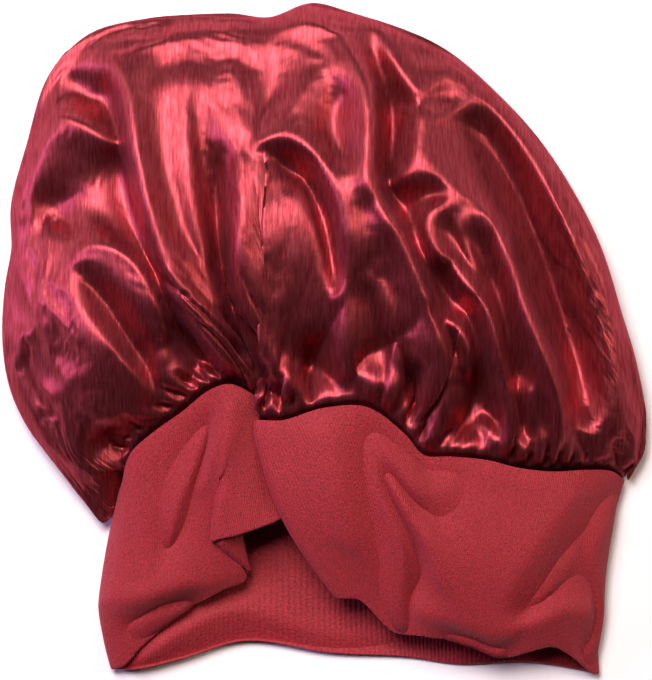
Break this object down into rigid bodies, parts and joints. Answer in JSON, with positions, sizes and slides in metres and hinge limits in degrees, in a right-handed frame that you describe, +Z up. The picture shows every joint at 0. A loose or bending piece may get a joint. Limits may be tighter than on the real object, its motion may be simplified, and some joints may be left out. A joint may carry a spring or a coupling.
{
  "type": "sleep bonnet",
  "caption": "Satin sleep bonnet lying flat, a puffed gathered crown sewn to a wide doubled jersey band whose open mouth goes round the head",
  "frame": {"origin": "on the floor under the middle of the whole bonnet's box", "axes": "+Y runs from the band's hem to the crown's far rim, +X to the picture's right, +Z up from the floor"},
  "size_m": [0.3232, 0.3358, 0.0622],
  "materials": {
    "jersey_knit": "matte burgundy polyester and elastane jersey, doubled",
    "satin": "burgundy polyester charmeuse satin, shiny"
  },
  "bodies": {
    "root": {"band": "jersey_knit", "crown": "satin"}
  },
  "joints": []
}
